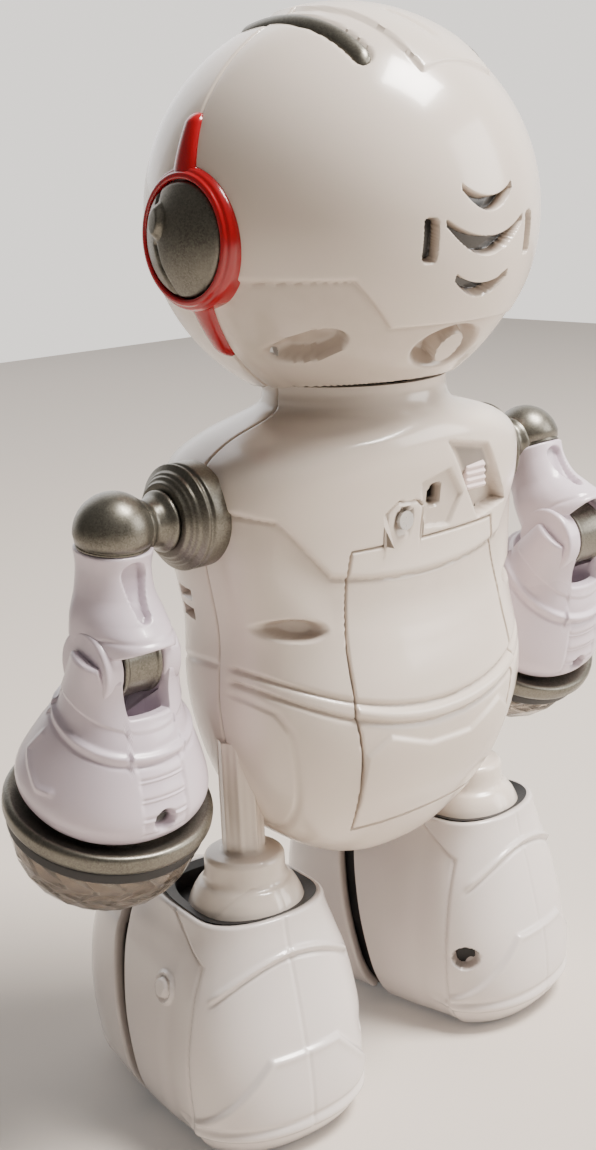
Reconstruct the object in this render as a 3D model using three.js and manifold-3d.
// A battery toy robot, about 26 cm tall: a turning head, posable arms with light-up hands, and
// boot-like feet that roll on motor-driven wheels.
// Millimetres, +Z up. The robot faces -Y and its left side is +X. The origin is on the floor,
// midway between the ankles.
import * as THREE from "three";
import { mergeVertices } from "three/addons/utils/BufferGeometryUtils.js";
import Module from "manifold-3d";

const wasm = await Module();
wasm.setup();

// ---- driving dimensions ----
const GAP = 0.3; // clearance between touching pieces
const WALL = 2.2; // moulded shell thickness

const HEAD_R = 47;
const HEAD_Y = -1.7; // the head's centre stands a little forward
const NECK_Y = 0;
const NECK_R = 22.4;
const NECK_TOP = 178;
const HEAD_Z = NECK_TOP - 8 + HEAD_R; // the neck reaches 8 mm into the head
const NECK_BORE = 9;

const TORSO_HALF_WIDTH = 48; // at the shoulders
const TORSO_BACK_DEPTH = 26;
const TORSO_FRONT_DEPTH = 40;
const TORSO_BOTTOM = 58;
const TORSO_POWER = 2.34; // how square the body's sections are
const PARTING_Y = -3; // plane where the front and rear shells meet

const COVER_HALF_WIDTH = 26;
const COVER_FOOT_INSET = 3.5; // how far the cover narrows at its lower edge
const COVER_BOTTOM = 73;
const COVER_TOP = 141;
const TAB_HALF_WIDTH = 5.5;
const TAB_X = 9.5; // the cover's screw tab
const TAB_TOP = 151;

const CELL_R = 7.1; // AA cell
const CELL_LENGTH = 50.5;
const CELL_PITCH = 15.2;

const SWITCH_X = -15;
const SWITCH_Z = 153;
const SWITCH_TRAVEL = 4;
const SLIDER_WIDTH = 7;
const SLIDER_HEIGHT = 6.5;

const SHOULDER_Y = -5;
const SHOULDER_Z = 151;
const FLANGE_R = 12.3;
const DOME_R = 9;
const AXLE_R = 3;
const ELBOW_Y = 4; // elbow axis in the upper arm's frame
const ELBOW_Z = -28.7;
const BARREL_R = 8.5;
const BARREL_WIDTH = 10;
const PIN_R = 1.6;
const LEFT_SWING = -8; // degrees at rest, plus is backwards
const RIGHT_SWING = 22;
const LEFT_FLEX = -9.5; // forearm bend at rest, minus is forwards
const RIGHT_FLEX = -58;
const HAND_R = 24.3;
const ARM_X = TORSO_HALF_WIDTH + HAND_R - 2.7; // the arm's middle plane, so that the hand clears the body
const HAND_DROP = 37.5; // elbow axis to the hand ring
const HAND_BACK = 2; // the hand's axis behind the elbow axis
const BELL_R = 21.5;
const DOME_DEPTH = 19; // clear light dome below the hand

const FOOT_X = 39.5;
const TOE_IN = 7; // degrees
const FOOT_HALF_WIDTH = 25;
const HEEL_REACH = 21;
const TOE_REACH = 61;
const FOOT_TOP = 56;
const SOLE_LIFT = 1.2; // the shell's edge above the floor
const TOE_SPLIT = -23; // where the toe cap meets the rear shell
const LEG_Y = -3;
const LEG_R = 5;
const ANKLE_R = 14.2;
const WHEEL_R = 9;
const WHEEL_WIDTH = 6;
const WHEEL_Y = 5; // the wheel's axle behind the ankle

const EAR_Y = -2.7;
const EAR_Z = HEAD_Z - 4;
const EAR_RING_R = 16;
const EAR_CAP_R = 12.8;

// ---- finishes ----
const IVORY = { color: 0xe9e1d6, roughness: 0.3, metalness: 0 };
const LILAC = { color: 0xe6dfe6, roughness: 0.3, metalness: 0 };
const GUNMETAL = { color: 0x6d6b5c, roughness: 0.38, metalness: 0.7 };
const RED = { color: 0xb80f1d, roughness: 0.25, metalness: 0 };
const BLACK = { color: 0x17181a, roughness: 0.5, metalness: 0 };
const STEEL = { color: 0xb5b7ba, roughness: 0.3, metalness: 1 };
const CLEAR = { color: 0xd9cdc2, roughness: 0.1, metalness: 0 };
const BOARD = { color: 0x1d5a36, roughness: 0.6, metalness: 0 };
const TRIM = { color: 0xefe6e4, roughness: 0.35, metalness: 0 };

const robot = new THREE.Group();

// ---- solids ----
function solid(geometry, matrix) {
  const bare = geometry.index ? geometry.toNonIndexed() : geometry.clone();
  bare.deleteAttribute("normal");
  bare.deleteAttribute("uv");
  if (matrix) bare.applyMatrix4(matrix);
  const merged = mergeVertices(bare, 1e-4);
  const mesh = { numProp: 3 };
  mesh.vertProperties = new Float32Array(merged.attributes.position.array);
  mesh.triVerts = new Uint32Array(merged.index.array);
  return new wasm.Manifold(new wasm.Mesh(mesh));
}

function geometryOf(body) {
  const mesh = body.getMesh();
  const geometry = new THREE.BufferGeometry();
  geometry.setAttribute("position", new THREE.BufferAttribute(mesh.vertProperties, 3));
  geometry.setIndex(new THREE.BufferAttribute(mesh.triVerts, 1));
  geometry.computeVertexNormals();
  return geometry;
}

function addPiece(name, body, finish, frame = robot) {
  const mesh = new THREE.Mesh(geometryOf(body), new THREE.MeshStandardMaterial(finish));
  mesh.name = name;
  frame.add(mesh);
}

const move = (x, y, z) => new THREE.Matrix4().makeTranslation(x, y, z);

function box(x0, x1, y0, y1, z0, z1) {
  const block = new THREE.BoxGeometry(x1 - x0, y1 - y0, z1 - z0);
  return solid(block, move((x0 + x1) / 2, (y0 + y1) / 2, (z0 + z1) / 2));
}

// A turned body about the line through `at` along X, Y or Z; profile points are [radius, along].
function turned(profile, axis = "z", at = [0, 0, 0], segments = 20) {
  const points = profile.map(([radius, along]) => new THREE.Vector2(radius, along));
  const lathe = new THREE.LatheGeometry(points, segments);
  const turn = new THREE.Matrix4();
  if (axis === "z") turn.makeRotationX(Math.PI / 2);
  if (axis === "x") turn.makeRotationZ(-Math.PI / 2);
  const body = solid(lathe, new THREE.Matrix4().copy(move(...at)).multiply(turn));
  return body.volume() < 0 ? solid(lathe.scale(-1, 1, 1), move(...at).multiply(turn)) : body;
}

function rod(radius, from, to, axis, at, segments = 16) {
  return turned([[0, from], [radius, from], [radius, to], [0, to]], axis, at, segments);
}

function ball(radius, x, y, z, across = 30, rows = 15) {
  const turn = new THREE.Matrix4().makeRotationX(Math.PI / 2);
  return solid(new THREE.SphereGeometry(radius, across, rows), move(x, y, z).multiply(turn));
}

// An outline in X and Z pushed through along Y.
function slabY(shape, y0, y1, curveSegments = 8) {
  const depth = y1 - y0;
  const block = new THREE.ExtrudeGeometry(shape, { depth, bevelEnabled: false, curveSegments });
  const turn = new THREE.Matrix4().makeRotationX(Math.PI / 2);
  return solid(block, move(0, y1, 0).multiply(turn));
}

// An outline in Y and Z pushed through along X.
function slabX(shape, x0, x1, curveSegments = 8) {
  const depth = x1 - x0;
  const block = new THREE.ExtrudeGeometry(shape, { depth, bevelEnabled: false, curveSegments });
  const turn = new THREE.Matrix4().set(0, 0, 1, x0, 1, 0, 0, 0, 0, 1, 0, 0, 0, 0, 0, 1);
  return solid(block, turn);
}

// An outline in X and Y pushed through along Z.
function slabZ(shape, z0, z1, curveSegments = 8) {
  const block = new THREE.ExtrudeGeometry(shape, { depth: z1 - z0, bevelEnabled: false, curveSegments });
  return solid(block, move(0, 0, z0));
}

function outline(points) {
  return new THREE.Shape(points.map(([u, v]) => new THREE.Vector2(u, v)));
}

function roundedOutline(u0, u1, v0, v1, radius) {
  const shape = new THREE.Shape();
  shape.moveTo(u0 + radius, v0);
  shape.lineTo(u1 - radius, v0);
  shape.absarc(u1 - radius, v0 + radius, radius, -Math.PI / 2, 0);
  shape.lineTo(u1, v1 - radius);
  shape.absarc(u1 - radius, v1 - radius, radius, 0, Math.PI / 2);
  shape.lineTo(u0 + radius, v1);
  shape.absarc(u0 + radius, v1 - radius, radius, Math.PI / 2, Math.PI);
  shape.lineTo(u0, v0 + radius);
  shape.absarc(u0 + radius, v0 + radius, radius, Math.PI, Math.PI * 1.5);
  return shape;
}

// A closed body through stacked oval sections. A row is { z, side, back, front }, the oval's reach
// to each side, to +Y and to -Y; the power, which a row may set, squares its corners, and
// frontPower squares those of the front half further.
function ovalStack(rows, options) {
  const { power = 2, frontPower = 0, centreY = 0, around = 40, steps = 20, grow = 0 } = options;
  const back = new THREE.CatmullRomCurve3(rows.map((r) => new THREE.Vector3(r.side, r.back, r.z)));
  const front = new THREE.CatmullRomCurve3(rows.map((r) => new THREE.Vector3(r.side, r.front, r.z)));
  back.curveType = "catmullrom";
  front.curveType = "catmullrom";
  back.tension = 0.5;
  front.tension = 0.5;
  const positions = [];
  const rings = steps + 1;
  for (let i = 0; i < rings; i++) {
    const along = (i / steps) * (rows.length - 1);
    const row = Math.min(Math.floor(along), rows.length - 2);
    const [low, high] = [rows[row].power ?? power, rows[row + 1].power ?? power];
    const rearCorner = 2 / THREE.MathUtils.lerp(low, high, along - row);
    const frontCorner = frontPower ? 2 / frontPower : rearCorner;
    const rear = back.getPoint(i / steps);
    const fore = front.getPoint(i / steps);
    for (let j = 0; j < around; j++) {
      const angle = (2 * Math.PI * j) / around;
      const c = Math.cos(angle);
      const s = Math.sin(angle);
      const reach = (s > 0 ? rear.y : fore.y) + grow;
      const corner = s > 0 ? rearCorner : frontCorner;
      const x = (rear.x + grow) * Math.sign(c) * Math.abs(c) ** corner;
      const y = centreY + reach * Math.sign(s) * Math.abs(s) ** corner;
      positions.push(x, y, rear.z);
    }
  }
  positions.push(0, centreY, rows[0].z);
  positions.push(0, centreY, rows[rows.length - 1].z);
  const index = [];
  const base = rings * around;
  for (let j = 0; j < around; j++) {
    const next = (j + 1) % around;
    for (let i = 0; i < steps; i++) {
      const a = i * around + j;
      const b = i * around + next;
      index.push(a, b, b + around, a, b + around, a + around);
    }
    index.push(base, next, j);
    index.push(base + 1, steps * around + j, steps * around + next);
  }
  const geometry = new THREE.BufferGeometry();
  geometry.setAttribute("position", new THREE.Float32BufferAttribute(positions, 3));
  geometry.setIndex(index);
  return solid(geometry);
}

// ---- torso ----
const BEYOND = 80; // past the outside of any shell
const TORSO_HEIGHT = NECK_TOP - TORSO_BOTTOM;

// Each row gives the rise as a share of the torso's height, then the reach to the side, the back
// and the front as shares of the shoulder width and of the two depths.
const torsoRows = [
  [0, 0.1, 0.12, 0.1],
  [0.03, 0.38, 0.42, 0.4],
  [0.1, 0.66, 0.68, 0.66],
  [0.19, 0.81, 0.92, 0.82],
  [0.3, 0.9, 1.1, 0.92],
  [0.4, 0.93, 1.12, 0.97],
  [0.53, 0.91, 0.98, 0.99],
  [0.66, 0.96, 0.93, 1.04],
  [0.77, 1.0, 1.0, 1.04],
  [0.85, 0.965, 1.07, 0.95],
  [0.9, 0.8, 1.06, 0.76],
].map(([rise, side, back, front]) => ({
  z: TORSO_BOTTOM + rise * TORSO_HEIGHT,
  side: side * TORSO_HALF_WIDTH,
  back: back * TORSO_BACK_DEPTH,
  front: front * TORSO_FRONT_DEPTH,
}));
const roundRow = (z, reach) => ({ z, side: reach, back: reach, front: reach, power: 2 });
const neckRows = [
  roundRow(TORSO_BOTTOM + 0.94 * TORSO_HEIGHT, NECK_R + 2),
  roundRow(TORSO_BOTTOM + 0.97 * TORSO_HEIGHT, NECK_R),
  roundRow(NECK_TOP, NECK_R),
];
const bodyRows = [...torsoRows, ...neckRows];

function hollowRows() {
  const rows = bodyRows.slice(1, -1).map((row) => ({ ...row }));
  rows[0].z += WALL;
  rows.push({ ...rows[rows.length - 1], z: NECK_TOP - WALL });
  return rows;
}

const bodyShape = { power: TORSO_POWER, around: 28, steps: 14 };
const torsoOuter = ovalStack(bodyRows, bodyShape);
const torsoClear = ovalStack(bodyRows, { ...bodyShape, grow: GAP });
const torsoInner = ovalStack(hollowRows(), { ...bodyShape, around: 18, steps: 8, grow: -WALL });
const neckBore = rod(NECK_BORE + GAP, NECK_TOP - 2 * WALL, NECK_TOP + 1, "z", [0, NECK_Y, 0]);
const torsoWall = torsoOuter.subtract(torsoInner).subtract(neckBore);
const backHalf = box(-BEYOND, BEYOND, PARTING_Y + GAP / 2, BEYOND, 0, 280);
const frontHalf = box(-BEYOND, BEYOND, -BEYOND, PARTING_Y - GAP / 2, 0, 280);

const LEDGE_FACE = TORSO_BACK_DEPTH - 4.2; // front of the ledge behind the screw tab and the switch
const LEDGE_BACK = LEDGE_FACE - 1.6;
const WELL_FLOOR = TORSO_BACK_DEPTH - 3.4; // floor of the switch recess
const COVER_SCREW_Z = (COVER_TOP + TAB_TOP) / 2 + 0.6;
const COVER_SEAT = TORSO_BACK_DEPTH - 1.4; // where the tab's screw head sits

function coverOutline(grow) {
  const edge = COVER_HALF_WIDTH + grow;
  const foot = edge - COVER_FOOT_INSET;
  return outline([
    [-foot, COVER_BOTTOM - grow],
    [foot, COVER_BOTTOM - grow],
    [edge + 1, COVER_BOTTOM + 25],
    [edge, COVER_TOP + grow],
    [-edge, COVER_TOP + grow],
    [-edge - 1, COVER_BOTTOM + 25],
  ]);
}

function tabOutline(grow) {
  const left = TAB_X - TAB_HALF_WIDTH - grow;
  const right = TAB_X + TAB_HALF_WIDTH + grow;
  return outline([
    [left, COVER_TOP - 1],
    [right, COVER_TOP - 1],
    [right, TAB_TOP - 2.5 + grow],
    [right - 3, TAB_TOP + grow],
    [left + 1, TAB_TOP - 1 + grow],
    [left, TAB_TOP - 2 + grow],
  ]);
}

function coverSpace(grow) {
  const panel = slabY(coverOutline(grow), PARTING_Y + 2 - grow, BEYOND);
  return panel.add(slabY(tabOutline(grow), LEDGE_FACE + GAP - grow, BEYOND));
}

const SCREW_HEAD_R = 2.3;
const SCREW_SHANK_R = 1.1;
const SCREW_HEAD_HEIGHT = 1.8;

// A pan-head screw along Y, its head seated on the plane y = seat.
function screw(x, z, seat, length) {
  const head = rod(SCREW_HEAD_R, seat, seat + SCREW_HEAD_HEIGHT, "y", [x, 0, z], 12);
  return head.add(rod(SCREW_SHANK_R, seat - length, seat + 0.5, "y", [x, 0, z], 12));
}

function screwHole(x, z, seat) {
  const shank = rod(SCREW_SHANK_R + GAP, seat - 20, seat + 1, "y", [x, 0, z], 12);
  return shank.add(rod(SCREW_HEAD_R + GAP, seat - GAP, BEYOND, "y", [x, 0, z], 20));
}

const TORSO_SCREW_X = 0.75 * TORSO_HALF_WIDTH;
const TORSO_SCREW_Z = 124;
const TORSO_SCREW_SEAT = 8;

function switchWell() {
  const right = SWITCH_X + SLIDER_WIDTH / 2 + 1.5;
  return outline([
    [right + 6, SWITCH_Z + 9],
    [right, SWITCH_Z - 10.5],
    [right - 17, SWITCH_Z - 8.5],
    [right - 9, SWITCH_Z + 8.5],
  ]);
}

function buildRearShell() {
  const ledge = box(-31, TAB_X + TAB_HALF_WIDTH + 2, LEDGE_BACK, BEYOND, COVER_TOP + 0.8, SWITCH_Z + 12);
  let rear = torsoWall.add(ledge.intersect(torsoOuter)).intersect(backHalf);
  for (const side of [-1, 1]) {
    const at = [side * TORSO_SCREW_X, 0, TORSO_SCREW_Z];
    const boss = rod(SCREW_HEAD_R + 2, TORSO_SCREW_SEAT - 3, BEYOND, "y", at, 20);
    rear = rear.add(boss.intersect(torsoOuter)).subtract(screwHole(at[0], at[2], TORSO_SCREW_SEAT));
  }
  rear = rear.subtract(coverSpace(GAP));
  rear = rear.subtract(slabY(switchWell(), WELL_FLOOR, BEYOND));
  const half = SLIDER_WIDTH / 2 + GAP;
  const low = SWITCH_Z - SLIDER_HEIGHT / 2 - SWITCH_TRAVEL - GAP;
  const high = SWITCH_Z + SLIDER_HEIGHT / 2 + GAP;
  rear = rear.subtract(box(SWITCH_X - half, SWITCH_X + half, 0, BEYOND, low, high));
  const window = roundedOutline(-2.4, 1.4, COVER_TOP + 6.5, COVER_TOP + 12, 1.2);
  rear = rear.subtract(slabY(window, LEDGE_BACK + 1, BEYOND));
  rear = rear.subtract(rod(SCREW_SHANK_R + GAP, 0, BEYOND, "y", [TAB_X, 0, COVER_SCREW_Z], 16));
  addPiece("torso_rear_shell", rear, IVORY);
}

const CHEST_PANEL = [
  [-25, SHOULDER_Z + 4],
  [-17, TORSO_SCREW_Z],
  [17, TORSO_SCREW_Z],
  [25, SHOULDER_Z + 4],
];

function chestOutline(grow) {
  return outline(CHEST_PANEL.map(([x, z]) => [x + Math.sign(x) * grow, z + (z > 140 ? grow : -grow)]));
}

function buildFrontShell() {
  const opening = slabY(chestOutline(GAP), -BEYOND, -TORSO_FRONT_DEPTH / 2);
  addPiece("torso_front_shell", torsoWall.intersect(frontHalf).subtract(opening), IVORY);
  const panel = torsoWall.intersect(slabY(chestOutline(0), -BEYOND, -TORSO_FRONT_DEPTH / 2));
  addPiece("chest_panel", panel, RED);
}

function buildCover() {
  const at = [TAB_X, 0, COVER_SCREW_Z];
  const counterbore = rod(SCREW_HEAD_R + GAP, COVER_SEAT, BEYOND, "y", at);
  const shank = rod(SCREW_SHANK_R + GAP, 0, BEYOND, "y", at, 12);
  const cover = torsoWall.intersect(coverSpace(0)).subtract(counterbore).subtract(shank);
  addPiece("battery_cover", cover, IVORY);
  const proud = box(-BEYOND, BEYOND, COVER_SEAT + GAP + 1, BEYOND, 0, 280);
  const flush = screw(TAB_X, COVER_SCREW_Z, COVER_SEAT + GAP, 8).subtract(proud);
  addPiece("battery_cover_screw", flush, STEEL);
}

const TRAY_BOTTOM = COVER_BOTTOM + 10;
const TRAY_WALL = 1.4;
const CELL_Y = PARTING_Y + 5 + TRAY_WALL + CELL_R;

function buildBatteryBay() {
  const half = CELL_PITCH + CELL_R + GAP;
  const lid = TRAY_BOTTOM + CELL_LENGTH + 2 * TRAY_WALL + 2 * GAP;
  const front = CELL_Y - CELL_R - GAP;
  const rear = CELL_Y + 0.8 * CELL_R;
  const block = box(-half - TRAY_WALL, half + TRAY_WALL, front - TRAY_WALL, rear, TRAY_BOTTOM, lid);
  const cavity = box(-half, half, front, BEYOND, TRAY_BOTTOM + TRAY_WALL, lid - TRAY_WALL);
  addPiece("battery_tray", block.subtract(cavity), BLACK);
  for (const slot of [-1, 0, 1]) {
    const low = TRAY_BOTTOM + TRAY_WALL + GAP;
    const top = low + CELL_LENGTH;
    const can = [[0, low], [CELL_R, low], [CELL_R, top - 1.2], [2.7, top - 1.2], [2.7, top], [0, top]];
    const cell = turned(can, "z", [slot * CELL_PITCH, CELL_Y, 0], 14);
    addPiece(`battery_cell_${slot + 2}`, cell, STEEL);
  }
}

function buildTorso() {
  buildRearShell();
  buildFrontShell();
  buildCover();
  buildBatteryBay();
  for (const [name, side] of [["left", 1], ["right", -1]]) {
    const fastener = screw(side * TORSO_SCREW_X, TORSO_SCREW_Z, TORSO_SCREW_SEAT, 10);
    addPiece(`torso_screw_${name}`, fastener, STEEL);
  }
  const half = SLIDER_WIDTH / 2;
  const sliderZ = [SWITCH_Z - SLIDER_HEIGHT / 2, SWITCH_Z + SLIDER_HEIGHT / 2];
  const sliderY = [LEDGE_BACK + 0.4, TORSO_BACK_DEPTH - 0.2];
  addPiece("power_switch_slider", box(SWITCH_X - half, SWITCH_X + half, ...sliderY, ...sliderZ), TRIM);
  const bodyZ = [SWITCH_Z - SLIDER_HEIGHT / 2 - SWITCH_TRAVEL - 2, SWITCH_Z + SLIDER_HEIGHT / 2 + 2];
  const bodyY = [LEDGE_BACK - GAP - 6, LEDGE_BACK - GAP];
  addPiece("power_switch_body", box(SWITCH_X - half - 2, SWITCH_X + half + 2, ...bodyY, ...bodyZ), BLACK);
  const board = box(-24, 24, PARTING_Y - 8, PARTING_Y - 6.4, COVER_BOTTOM + 20, SHOULDER_Z - 4);
  addPiece("main_circuit_board", board, BOARD);
}

// ---- head ----
const atHead = ([x, y, z]) => [x, HEAD_Y + y, HEAD_Z + z];
function headBall(grow, across = 26, rows = 14) {
  return ball(HEAD_R + grow, ...atHead([0, 0, 0]), across, rows);
}

const CREST_X = 18;
const CREST_HALF = 2;
const CREST_BACK = 29;
const CREST_FRONT = -12;
const TOP_PANEL = [[-12.5, 2], [12.5, 2], [9, 29], [8, 36], [-8, 36], [-9, 29]]; // x, y from the centre
const VISOR_HALF = 31;
const EYE_X = 13;
const EYE_R = 5.5;
const HEAD_SCREW = [31, -28.7];
const HEAD_SCREW_SEAT = HEAD_Y + 9;

function crestOutline(grow) {
  const half = CREST_HALF + grow;
  const y0 = HEAD_Y + CREST_FRONT - grow;
  const y1 = HEAD_Y + CREST_BACK + grow;
  return roundedOutline(CREST_X - half, CREST_X + half, y0, y1, half - 0.05);
}

// A smile-shaped slot: two arcs that hang between the same ends.
function smile(half, endZ, dip, thick) {
  const shape = new THREE.Shape();
  shape.moveTo(-half, endZ);
  shape.quadraticCurveTo(0, endZ - 2 * dip, half, endZ);
  shape.lineTo(half - 0.8, endZ + 1.2);
  shape.quadraticCurveTo(0, endZ - 2 * (dip - thick), -half + 0.8, endZ + 1.2);
  shape.closePath();
  return shape;
}

function grilleCuts() {
  const z = HEAD_Z;
  const smiles = [smile(7.8, z + 3.6, 4.2, 3), smile(12.1, z - 4, 5.8, 4), smile(8.2, z - 16, 3.6, 2.8)];
  let cuts = smiles.map((one) => slabY(one, 20, BEYOND, 6)).reduce((all, one) => all.add(one));
  for (const side of [-1, 1]) {
    cuts = cuts.add(box(side * 15.7 - 1.6, side * 15.7 + 1.6, 20, BEYOND, z - 10.7, z - 1.3));
  }
  return cuts;
}

function headWall() {
  const crown = headBall(0).subtract(headBall(-WALL, 20, 10));
  return crown.subtract(rod(NECK_R + 1, HEAD_Z - HEAD_R - 2, NECK_TOP + 6, "z", [0, NECK_Y, 0], 30));
}

function crestGroove() {
  const skin = headBall(6, 12, 6).subtract(headBall(-0.9));
  const left = slabZ(crestOutline(GAP), HEAD_Z + 20, HEAD_Z + HEAD_R + 3, 3);
  const x = -2 * CREST_X;
  const right = left.translate([x, 0, 0]);
  return skin.intersect(left.add(right));
}

function faceOpening(grow) {
  const half = VISOR_HALF + grow;
  const shape = roundedOutline(-half, half, HEAD_Z - 16 - grow, HEAD_Z + 15 + grow, 13);
  return slabY(shape, -BEYOND, HEAD_Y - 12, 5);
}

function crestBar() {
  const reach = slabZ(crestOutline(0), HEAD_Z + 20, HEAD_Z + HEAD_R + 3, 3);
  return headBall(0.8).subtract(headBall(-0.5)).intersect(reach);
}

function buildHead() {
  const wall = headWall();
  const groove = crestGroove();
  const rearSide = box(-BEYOND, BEYOND, HEAD_Y + GAP / 2, BEYOND, 100, 300);
  const frontSide = box(-BEYOND, BEYOND, -BEYOND, HEAD_Y - GAP / 2, 100, 300);

  const brow = outline(TOP_PANEL.map(([x, y]) => [x, HEAD_Y + y]));
  const raised = headBall(0.7).subtract(headBall(-1)).intersect(slabZ(brow, HEAD_Z + 24, HEAD_Z + 60));
  let rear = wall.add(raised);
  for (const side of [-1, 1]) {
    const at = [side * HEAD_SCREW[0], 0, HEAD_Z + HEAD_SCREW[1]];
    const boss = rod(SCREW_HEAD_R + 1.6, HEAD_SCREW_SEAT - 4, BEYOND, "y", at);
    rear = rear.add(boss.intersect(headBall(-0.4))).subtract(screwHole(at[0], at[2], HEAD_SCREW_SEAT));
  }
  const stop = atHead([0, 0, -31]);
  const scoop = rod(7.5, stop[1] + 34.5, BEYOND, "y", stop, 24);
  const scoopFloor = rod(9, stop[1] + 31.5, BEYOND, "y", stop, 24).intersect(headBall(-0.4));
  const post = rod(3.6, stop[1] + 33, stop[1] + 36.6, "y", stop, 16);
  rear = rear.add(scoopFloor).subtract(scoop).add(post);
  rear = rear.intersect(rearSide).subtract(grilleCuts()).subtract(groove);
  rear = rear.subtract(rod(NECK_R + 1, HEAD_Z - HEAD_R - 2, NECK_TOP + 6, "z", [0, NECK_Y, 0], 30));
  addPiece("head_rear_shell", rear, IVORY);

  const front = wall.intersect(frontSide).subtract(groove).subtract(faceOpening(GAP));
  addPiece("head_front_shell", front, IVORY);
  let visor = wall.intersect(faceOpening(0)).intersect(headBall(-0.3));
  for (const [name, side] of [["left", 1], ["right", -1]]) {
    const at = [side * EYE_X, HEAD_Y, HEAD_Z + 2];
    visor = visor.subtract(rod(EYE_R + GAP, -BEYOND, 0, "y", at));
    const lens = rod(EYE_R, -HEAD_R, -HEAD_R + 9, "y", at).intersect(headBall(0.2));
    addPiece(`eye_light_${name}`, lens, { color: 0x7fb7ff, roughness: 0.15, metalness: 0 });
  }
  addPiece("face_visor", visor, { color: 0x101216, roughness: 0.08, metalness: 0 });

  const crest = crestBar();
  const speakerAt = atHead([0, 0, -3]);
  const cone = [[0, 26], [7, 26], [7, 32], [15, 36], [15, 39.8], [13, 39.8], [5, 35], [0, 34]];
  addPiece("head_speaker", turned(cone, "y", speakerAt), BLACK);
  for (const side of sides) {
    addPiece(`crest_bar_${side.name}`, crest, GUNMETAL, side.body);
    const fastener = screw(HEAD_SCREW[0], HEAD_Z + HEAD_SCREW[1], HEAD_SCREW_SEAT, 10);
    addPiece(`head_screw_${side.name}`, fastener, STEEL, side.body);
    buildEar(side);
  }
  buildNeck();
}

const EAR_FIN = [
  [-2.6, -26], [0.6, -27.5], [2.4, -25], [3.6, -14], [3.8, 14],
  [3, 24.5], [0.8, 27.4], [-2, 25.5], [-4, 14], [-4, -14],
];

function buildEar(side) {
  const at = [0, EAR_Y, EAR_Z];
  const clear = headBall(GAP);
  const seat = HEAD_R - 8;
  const top = HEAD_R + 1;
  const ring = [
    [EAR_CAP_R + GAP, seat], [EAR_RING_R, seat], [EAR_RING_R, top - 2], [EAR_RING_R - 0.8, top - 0.6],
    [EAR_RING_R - 1.8, top], [EAR_CAP_R + GAP, top], [EAR_CAP_R + GAP, seat],
  ];
  const fin = outline(EAR_FIN.map(([y, z]) => [EAR_Y + y, EAR_Z + z]));
  const strap = headBall(1.7).subtract(headBall(-1)).intersect(slabX(fin, 10, BEYOND));
  const hole = rod(EAR_CAP_R + GAP, 10, BEYOND, "x", at);
  const crown = turned(ring, "x", at).add(strap).subtract(hole).subtract(clear);
  addPiece(`ear_ring_${side.name}`, crown, RED, side.body);
  const rim = HEAD_R - 1;
  const cap = [
    [0, seat], [EAR_CAP_R, seat], [EAR_CAP_R, rim + 0.5], [EAR_CAP_R - 0.8, rim + 2.2],
    [EAR_CAP_R - 3.5, rim + 3.8], [EAR_CAP_R / 2, rim + 4.8], [0, rim + 5.3],
  ];
  addPiece(`ear_cap_${side.name}`, turned(cap, "x", at).subtract(clear), GUNMETAL, side.body);
}

function buildNeck() {
  const under = NECK_TOP - WALL;
  const plate = HEAD_Z - HEAD_R + 11.5;
  const plateR = Math.sqrt((HEAD_R - WALL) ** 2 - (HEAD_Z - plate) ** 2) - 3 * GAP - (NECK_Y - HEAD_Y);
  const spool = [
    [0, under - 6], [NECK_BORE + 4, under - 6], [NECK_BORE + 4, under - GAP], [NECK_BORE, under - GAP],
    [NECK_BORE, plate], [plateR, plate], [plateR, plate + 2], [0, plate + 2],
  ];
  addPiece("neck_axle", turned(spool, "z", [0, NECK_Y, 0], 24), BLACK);
}

// ---- arms ----
const rad = THREE.MathUtils.degToRad;

// Frames for the left side and, mirrored, for the right.
function sideFrames(name, mirror, swing, flex) {
  const body = new THREE.Group();
  body.scale.x = mirror;
  const arm = new THREE.Group();
  arm.position.set(ARM_X, SHOULDER_Y, SHOULDER_Z);
  arm.rotation.x = rad(swing);
  const elbow = new THREE.Group();
  elbow.position.set(0, ELBOW_Y, ELBOW_Z);
  elbow.rotation.x = rad(flex);
  const foot = new THREE.Group();
  foot.position.set(FOOT_X, LEG_Y, 0);
  foot.rotation.z = rad(-TOE_IN);
  robot.add(body);
  body.add(arm, foot);
  arm.add(elbow);
  return { name, body, arm, elbow, foot };
}
const sides = [
  sideFrames("left", 1, LEFT_SWING, LEFT_FLEX),
  sideFrames("right", -1, RIGHT_SWING, RIGHT_FLEX),
];

const FLANGE_TOP = ARM_X - 13.5; // outer face of the fixed flange
const STUB_R = 6.3;
const DOME_CUT = 3; // the dome's flat underside, below its centre

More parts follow.
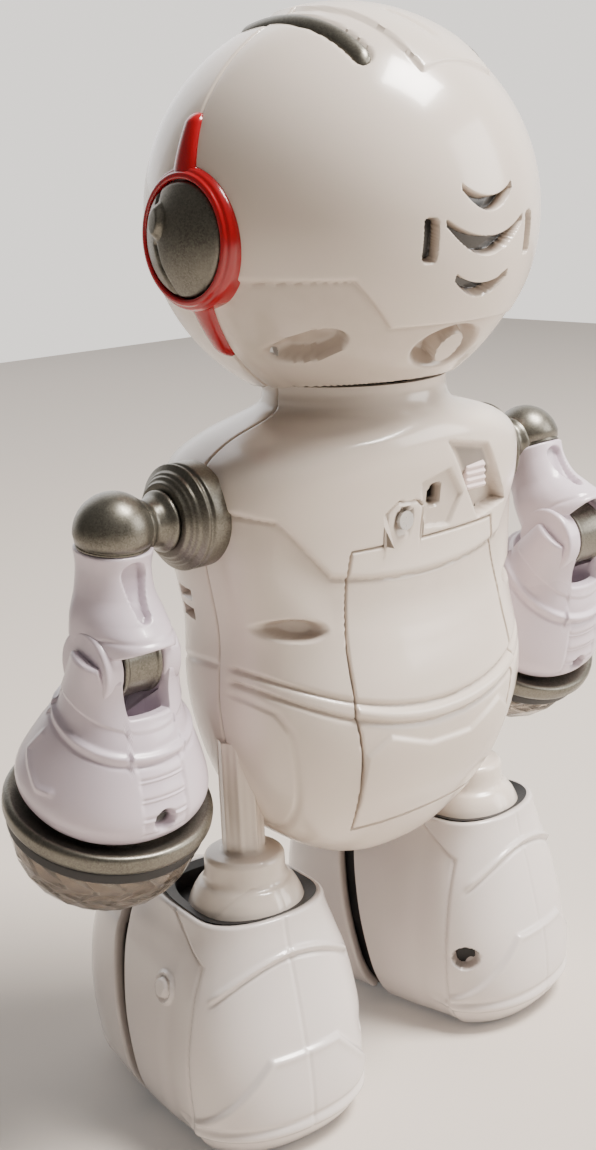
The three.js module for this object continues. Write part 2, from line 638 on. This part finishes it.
function buildShoulder(side) {
  const inner = TORSO_HALF_WIDTH - 3.4;
  const steps = [
    [0, inner], [FLANGE_R, inner], [FLANGE_R, FLANGE_TOP - 3.8], [FLANGE_R - 1.6, FLANGE_TOP - 3],
    [FLANGE_R - 1.6, FLANGE_TOP - 2], [FLANGE_R - 3.2, FLANGE_TOP - 1.4],
    [FLANGE_R - 3.6, FLANGE_TOP], [0, FLANGE_TOP],
  ];
  const at = [0, SHOULDER_Y, SHOULDER_Z];
  const bore = rod(AXLE_R + GAP, FLANGE_TOP - 4, BEYOND, "x", at);
  const flange = turned(steps, "x", at).subtract(bore).subtract(torsoClear);
  addPiece(`shoulder_flange_${side.name}`, flange, GUNMETAL, side.body);

  const below = box(-20, 20, -20, 20, -20, -DOME_CUT);
  const stub = rod(STUB_R, FLANGE_TOP - ARM_X + GAP, 0, "x", [0, 0, 0]);
  const axle = rod(AXLE_R, FLANGE_TOP - ARM_X - 4 + GAP, 0, "x", [0, 0, 0], 16);
  const dome = ball(DOME_R, 0, 0, 0, 20, 10).add(stub).subtract(below).add(axle);
  addPiece(`shoulder_dome_${side.name}`, dome, GUNMETAL, side.arm);
}

const ARM_SCREW_Z = -8.5;
const ARM_SCREW_SEAT = 3;
const HOOD_BOTTOM = ELBOW_Z + 4.6;
const CHEEK_R = BARREL_R + 0.3;
const CHEEK_OUT = BARREL_WIDTH / 2 + 5.3;

function buildUpperArm(side) {
  const top = -DOME_CUT - GAP;
  const hood = HOOD_BOTTOM - top;
  const rows = [
    [0, 8.6, 8.6, 8.6], [0.2, 8.1, 8.3, 7.8], [0.46, 8.6, 9.8, 7.4],
    [0.68, 9.9, 14, 7], [0.86, 10.3, 18, 6.5], [1, 10.3, 19, 6.2],
  ].map(([drop, reach, back, front]) => ({ z: top + drop * hood, side: reach, back, front }));
  rows.reverse();
  const at = [0, ELBOW_Y, ELBOW_Z];
  const half = BARREL_WIDTH / 2 + 0.4;
  let arm = ovalStack(rows, { power: 2.3, around: 16, steps: 8 });
  arm = arm.add(rod(CHEEK_R, -CHEEK_OUT, CHEEK_OUT, "x", at));
  arm = arm.subtract(rod(CHEEK_R + GAP, -half, half, "x", at));
  arm = arm.subtract(rod(PIN_R + GAP, -20, 20, "x", at, 12));
  arm = arm.subtract(screwHole(0, ARM_SCREW_Z, ARM_SCREW_SEAT));
  addPiece(`upper_arm_${side.name}`, arm, LILAC, side.arm);
  addPiece(`arm_screw_${side.name}`, screw(0, ARM_SCREW_Z, ARM_SCREW_SEAT, 6), STEEL, side.arm);
}

const BELL_BOTTOM = -HAND_DROP + 2.1;

// Rows from the elbow down to the bell's edge: the height, then the reach to the side, back and front.
function forearmRows(grow, from) {
  return [
    [3.5, 13, 8, 11], [-3, 13.3, 8.6, 12.4], [-8.5, 14, 11.4, 13.6], [-12.5, 15, 14.4, 14.8],
    [-19.5, 18.3, 18.2, 18.2],
    [-26.5, BELL_R - 0.4, BELL_R - 0.4, BELL_R - 0.4],
    [-30.5, BELL_R, BELL_R, BELL_R],
    [-34, BELL_R - 1.6, BELL_R - 1.6, BELL_R - 1.6],
    [BELL_BOTTOM, BELL_R - 4.5, BELL_R - 4.5, BELL_R - 4.5],
  ].filter(([z]) => z < from)
    .map(([z, reach, back, front]) => ({ z, side: reach + grow, back: back + grow, front: front + grow }))
    .reverse();
}

function buildForearm(side) {
  const inside = CHEEK_OUT + GAP;
  const slot = BARREL_WIDTH / 2 + 0.4;
  let arm = ovalStack(forearmRows(0, 9), { power: 2.15, centreY: HAND_BACK, around: 20, steps: 11 });
  const hollow = forearmRows(-WALL, -12);
  hollow[0].z -= 1;
  arm = arm.subtract(ovalStack(hollow, { centreY: HAND_BACK, around: 12, steps: 4 }));
  arm = arm.subtract(rod(CHEEK_R + GAP, -inside, inside, "x", [0, 0, 0]));
  arm = arm.subtract(box(-inside, inside, -30, 0, -BARREL_R, 10));
  arm = arm.subtract(box(-inside, inside, -1, 30, 1, 10));
  arm = arm.subtract(box(-slot, slot, 0, 30, -BARREL_R + 1, 10));
  arm = arm.subtract(rod(SCREW_HEAD_R + GAP, 4, 40, "y", [0, 0, -29.5], 16));
  addPiece(`forearm_${side.name}`, arm, LILAC, side.elbow);
  const pin = rod(PIN_R, -CHEEK_OUT, CHEEK_OUT, "x", [0, 0, 0], 12);
  const barrel = rod(BARREL_R, -BARREL_WIDTH / 2, BARREL_WIDTH / 2, "x", [0, 0, 0], 24).add(pin);
  addPiece(`elbow_barrel_${side.name}`, barrel, GUNMETAL, side.elbow);
}

function buildHand(side) {
  const at = [0, HAND_BACK, -HAND_DROP];
  const hole = HAND_R - 11.5;
  const ring = [
    [hole, 1.6], [BELL_R - 4.3, 1.6], [HAND_R - 4, 2], [HAND_R - 0.7, 2.4], [HAND_R, 1.4],
    [HAND_R, -1], [HAND_R - 0.8, -2.2], [hole, -2.2], [hole, 1.6],
  ];
  addPiece(`hand_ring_${side.name}`, turned(ring, "z", at, 28), GUNMETAL, side.elbow);
  const bandR = HAND_R - 1.3;
  const bandTop = -2.2 - GAP;
  const bandLow = bandTop - 2.8;
  const band = [[hole, bandTop], [hole, bandLow], [bandR, bandLow], [bandR, bandTop], [hole, bandTop]];
  addPiece(`hand_band_${side.name}`, turned(band, "z", at, 28), BLACK, side.elbow);
  const rim = bandLow - GAP;
  const r = HAND_R - 2;
  const dome = [
    [0, rim - DOME_DEPTH], [0.42 * r, rim - 0.92 * DOME_DEPTH], [0.72 * r, rim - 0.7 * DOME_DEPTH],
    [0.92 * r, rim - 0.38 * DOME_DEPTH], [r, rim], [r - 1.8, rim], [0.84 * r, rim - 0.34 * DOME_DEPTH],
    [0.65 * r, rim - 0.61 * DOME_DEPTH], [0.38 * r, rim - 0.81 * DOME_DEPTH], [0, rim - 0.89 * DOME_DEPTH],
  ];
  addPiece(`light_dome_${side.name}`, turned(dome, "z", at, 20), CLEAR, side.elbow);
}

// ---- legs and feet ----
const COLLAR_R = 9.7;
const CHASSIS_TOP = FOOT_TOP - 4.5;
const SKID_Y = -36;

function buildLeg(side) {
  const base = CHASSIS_TOP + GAP;
  const collar = FOOT_TOP + 6.5;
  const hip = TORSO_BOTTOM + 0.32 * TORSO_HEIGHT;
  const profile = [
    [0, base], [ANKLE_R, base], [ANKLE_R, base + 2.5], [ANKLE_R - 1.6, base + 6.5],
    [COLLAR_R + 1, collar - 1.4], [COLLAR_R, collar - 0.6], [COLLAR_R, collar + 3.8],
    [COLLAR_R - 1, collar + 4.8], [LEG_R, collar + 5], [LEG_R, hip], [0, hip],
  ];
  const leg = turned(profile, "z", [FOOT_X, LEG_Y, 0], 20).subtract(torsoClear);
  addPiece(`leg_${side.name}`, leg, IVORY, side.body);
}

// The boot's outline narrows upwards; heights are shares of FOOT_TOP.
function footRows(grow) {
  return [
    [SOLE_LIFT / FOOT_TOP, 0.79, 0.76, 0.86], [0.1, 0.91, 0.94, 0.95],
    [0.22, 0.985, 1, 0.985], [0.45, 1, 0.94, 1],
    [0.68, 0.92, 0.81, 0.97], [0.83, 0.81, 0.71, 0.84],
    [0.93, 0.73, 0.65, 0.62], [1, 0.69, 0.63, 0.46],
  ].map(([rise, reach, back, front]) => ({
    z: rise * FOOT_TOP,
    side: reach * FOOT_HALF_WIDTH + grow,
    back: back * HEEL_REACH + grow,
    front: front * TOE_REACH + grow,
  }));
}

const footShape = { power: 2.3, frontPower: 3.1, centreY: -LEG_Y, around: 24 };

function footHollow(grow) {
  const rows = footRows(grow);
  rows[0].z = 0;
  rows[rows.length - 1].z = FOOT_TOP - WALL;
  return ovalStack(rows, { ...footShape, around: 16, steps: 5 });
}

function buildFoot(side) {
  const outer = ovalStack(footRows(0), { ...footShape, steps: 9 });
  const opening = rod(ANKLE_R + 2, CHASSIS_TOP - 6, FOOT_TOP + 2, "z", [0, 0, 0], 20);
  const shell = outer.subtract(footHollow(-WALL)).subtract(opening);
  const split = -LEG_Y + TOE_SPLIT;
  const toeSide = box(-40, 40, -80, split - GAP / 2, 0, 80);
  const rearSide = box(-40, 40, split + GAP / 2, 60, 0, 80);
  const slotShape = roundedOutline(split - 3.6, split + 4.4, 0.4 * FOOT_TOP, 0.85 * FOOT_TOP, 2);
  const slot = slabX(slotShape, -40, 40, 3);
  addPiece(`foot_toe_shell_${side.name}`, shell.intersect(toeSide).subtract(slot), IVORY, side.foot);
  const bossAt = [0, 1.2, 0.69 * FOOT_TOP];
  const boss = rod(2.6, FOOT_HALF_WIDTH - 3, FOOT_HALF_WIDTH - 0.2, "x", bossAt);
  const heel = shell.intersect(rearSide).subtract(slot).add(boss);
  addPiece(`foot_rear_shell_${side.name}`, heel, IVORY, side.foot);

  const wheelHalf = WHEEL_WIDTH / 2 + 1;
  const wheelSpan = [WHEEL_Y - WHEEL_R - 1, WHEEL_Y + WHEEL_R + 1];
  const wheelRoom = box(-wheelHalf, wheelHalf, ...wheelSpan, -1, 2 * WHEEL_R + 1);
  const axleR = 1.5;
  const wheelAt = [0, WHEEL_Y, WHEEL_R];
  const axleRoom = rod(axleR + GAP, -8, 8, "x", wheelAt, 12);
  const motorAt = [0, 0, 14];
  const motorRoom = box(-8, 8, WHEEL_Y - WHEEL_R - 26, WHEEL_Y - WHEEL_R - 3, -1, 22.5);
  const skid = box(-9, 9, SKID_Y - 4, SKID_Y + 4, 0, 6);
  const layer = box(-40, 40, -80, 60, SOLE_LIFT + 0.8, CHASSIS_TOP);
  let chassis = footHollow(-WALL - 2 * GAP).intersect(layer).add(skid);
  chassis = chassis.subtract(wheelRoom).subtract(axleRoom).subtract(motorRoom);
  addPiece(`foot_chassis_${side.name}`, chassis, BLACK, side.foot);
  const motorEnd = WHEEL_Y - WHEEL_R - 5.4;
  const motor = rod(7.4, motorEnd - 20, motorEnd, "y", motorAt, 20);
  const shaft = rod(1, motorEnd - 1, motorEnd + 2, "y", motorAt, 12);
  addPiece(`drive_motor_${side.name}`, motor.add(shaft), STEEL, side.foot);
  const tyre = rod(WHEEL_R, -WHEEL_WIDTH / 2, WHEEL_WIDTH / 2, "x", wheelAt, 24);
  const wheel = tyre.add(rod(axleR, -7.6, 7.6, "x", wheelAt, 12));
  addPiece(`drive_wheel_${side.name}`, wheel, BLACK, side.foot);
}

buildTorso();
buildHead();
for (const side of sides) {
  buildShoulder(side);
  buildUpperArm(side);
  buildForearm(side);
  buildHand(side);
  buildLeg(side);
  buildFoot(side);
}

export default robot;
